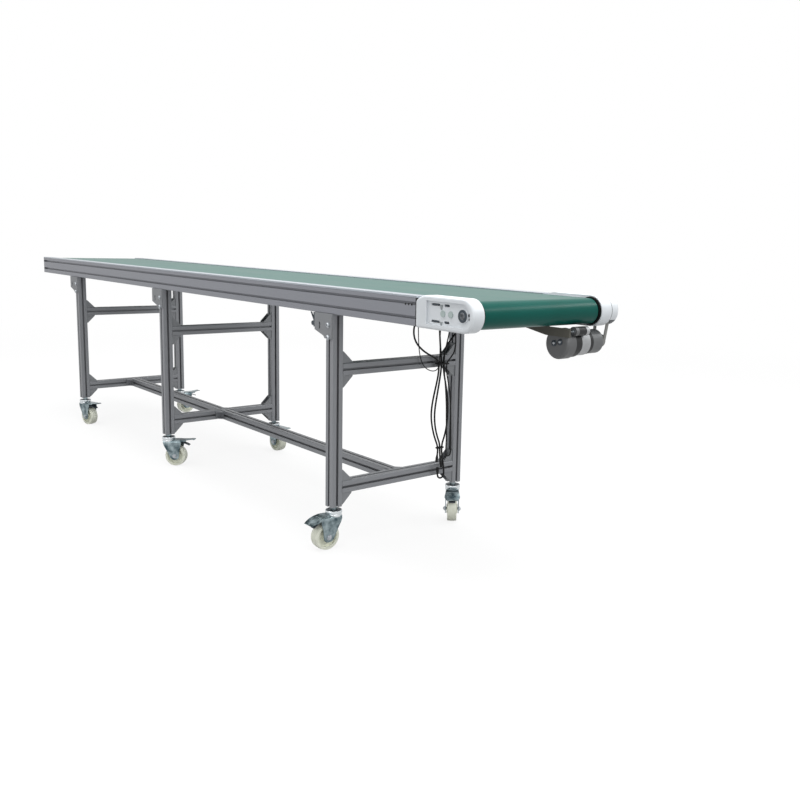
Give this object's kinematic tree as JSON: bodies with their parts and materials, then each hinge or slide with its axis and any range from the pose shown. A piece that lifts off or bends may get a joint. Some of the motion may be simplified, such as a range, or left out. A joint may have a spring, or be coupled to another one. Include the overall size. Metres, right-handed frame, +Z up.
{
  "type": "mobile belt conveyor",
  "caption": "Long flat belt conveyor: slot-profile side rails, green belt round a driven head drum in white housings, leg frames on braked swivel castors.",
  "frame": {"origin": "on the floor, under the middle of the machine: midway along its length and on the belt's centre line", "axes": "+X along the belt's run from the tail end to the driven head end, +Z up, +Y to the left, the drive side"},
  "size_m": [3.5986, 0.746, 0.8662],
  "materials": {
    "rail_aluminium": "anodised, satin",
    "profile_aluminium": "anodised, satin",
    "strip_aluminium": "clear anodised",
    "steel_sheet": "galvanised sheet",
    "belt_green": "smooth cover, satin",
    "drum_steel": "turned",
    "housing_white": "smooth white, semi-gloss",
    "dark_steel": "blackened",
    "cap_grey": "pale grey",
    "bracket_cast": "cast, grey",
    "motor_grey": "grey paint, semi-matt",
    "motor_bracket_brown": "dark grey-brown paint",
    "duct_grey": "grey plastic",
    "castor_zinc": "bright zinc plate",
    "wheel_nylon": "cream nylon",
    "cable_black": "satin jacket"
  },
  "bodies": {
    "root": {"adjuster_screws": "dark_steel", "bed_ties": "steel_sheet", "cable_duct": "duct_grey", "castor_stems": "castor_zinc", "conveyor_belt": "belt_green", "cord_back": "cable_black", "cord_front": "cable_black", "cord_loop": "cable_black", "cord_middle": "cable_black", "cord_plug_back": "cable_black", "cord_plug_front": "cable_black", "cord_plug_middle": "cable_black", "cord_thin": "cable_black", "cord_ties": "cable_black", "corner_brackets_head": "bracket_cast", "corner_brackets_middle": "bracket_cast", "corner_brackets_tail": "bracket_cast", "crossbars_head": "profile_aluminium", "crossbars_middle": "profile_aluminium", "crossbars_tail": "profile_aluminium", "drive_belt": "cable_black", "drive_cover": "housing_white", "drive_drum": "drum_steel", "drive_pulleys": "drum_steel", "edge_strips": "strip_aluminium", "gear_motor": "motor_grey", "head_housing_left": "housing_white", "head_housing_right": "housing_white", "legs_head": "profile_aluminium", "legs_middle": "profile_aluminium", "legs_tail": "profile_aluminium", "motor_bracket": "motor_bracket_brown", "pivot_caps": "cap_grey", "rail_clip": "dark_steel", "rail_plates": "bracket_cast", "return_rollers": "drum_steel", "shaft_cap": "dark_steel", "side_rail_left": "rail_aluminium", "side_rail_right": "rail_aluminium", "slider_bed": "steel_sheet", "stretcher_brackets": "bracket_cast", "stretchers": "profile_aluminium", "tail_blocks": "steel_sheet", "tail_drum": "drum_steel"},
    "castor_head_left": {"castor_fork_head_left": "castor_zinc"},
    "castor_head_right": {"castor_fork_head_right": "castor_zinc"},
    "castor_middle_left": {"castor_fork_middle_left": "castor_zinc"},
    "castor_middle_right": {"castor_fork_middle_right": "castor_zinc"},
    "castor_tail_left": {"castor_fork_tail_left": "castor_zinc"},
    "castor_tail_right": {"castor_fork_tail_right": "castor_zinc"},
    "wheel_head_left": {"castor_wheel_head_left": "wheel_nylon"},
    "wheel_head_right": {"castor_wheel_head_right": "wheel_nylon"},
    "wheel_middle_left": {"castor_wheel_middle_left": "wheel_nylon"},
    "wheel_middle_right": {"castor_wheel_middle_right": "wheel_nylon"},
    "wheel_tail_left": {"castor_wheel_tail_left": "wheel_nylon"},
    "wheel_tail_right": {"castor_wheel_tail_right": "wheel_nylon"}
  },
  "joints": [
    {"name": "swivel_tail_right", "type": "hinge", "parent": "root", "child": "castor_tail_right", "pos_m": [-1.26425, -0.26, 0.118], "axis": [0, 0, 1], "continuous": true},
    {"name": "roll_tail_right", "type": "hinge", "parent": "castor_tail_right", "child": "wheel_tail_right", "pos_m": [-1.23237, -0.25146, 0.045], "axis": [-0.2588, 0.9659, 0], "continuous": true},
    {"name": "swivel_middle_right", "type": "hinge", "parent": "root", "child": "castor_middle_right", "pos_m": [-0.19425, -0.26, 0.118], "axis": [0, 0, 1], "continuous": true},
    {"name": "roll_middle_right", "type": "hinge", "parent": "castor_middle_right", "child": "wheel_middle_right", "pos_m": [-0.17133, -0.23626, 0.045], "axis": [-0.7193, 0.6947, 0], "continuous": true},
    {"name": "swivel_head_right", "type": "hinge", "parent": "root", "child": "castor_head_right", "pos_m": [1.12075, -0.26, 0.118], "axis": [0, 0, 1], "continuous": true},
    {"name": "roll_head_right", "type": "hinge", "parent": "castor_head_right", "child": "wheel_head_right", "pos_m": [1.12075, -0.293, 0.045], "axis": [1, 0, 0], "continuous": true},
    {"name": "swivel_tail_left", "type": "hinge", "parent": "root", "child": "castor_tail_left", "pos_m": [-1.26425, 0.26, 0.118], "axis": [0, 0, 1], "continuous": true},
    {"name": "roll_tail_left", "type": "hinge", "parent": "castor_tail_left", "child": "wheel_tail_left", "pos_m": [-1.26425, 0.293, 0.045], "axis": [-1, 0, 0], "continuous": true},
    {"name": "swivel_middle_left", "type": "hinge", "parent": "root", "child": "castor_middle_left", "pos_m": [-0.19425, 0.26, 0.118], "axis": [0, 0, 1], "continuous": true},
    {"name": "roll_middle_left", "type": "hinge", "parent": "castor_middle_left", "child": "wheel_middle_left", "pos_m": [-0.16138, 0.26288, 0.045], "axis": [-0.0872, 0.9962, 0], "continuous": true},
    {"name": "swivel_head_left", "type": "hinge", "parent": "root", "child": "castor_head_left", "pos_m": [1.12075, 0.26, 0.118], "axis": [0, 0, 1], "continuous": true},
    {"name": "roll_head_left", "type": "hinge", "parent": "castor_head_left", "child": "wheel_head_left", "pos_m": [1.14566, 0.23835, 0.045], "axis": [0.6561, 0.7547, 0], "continuous": true}
  ]
}
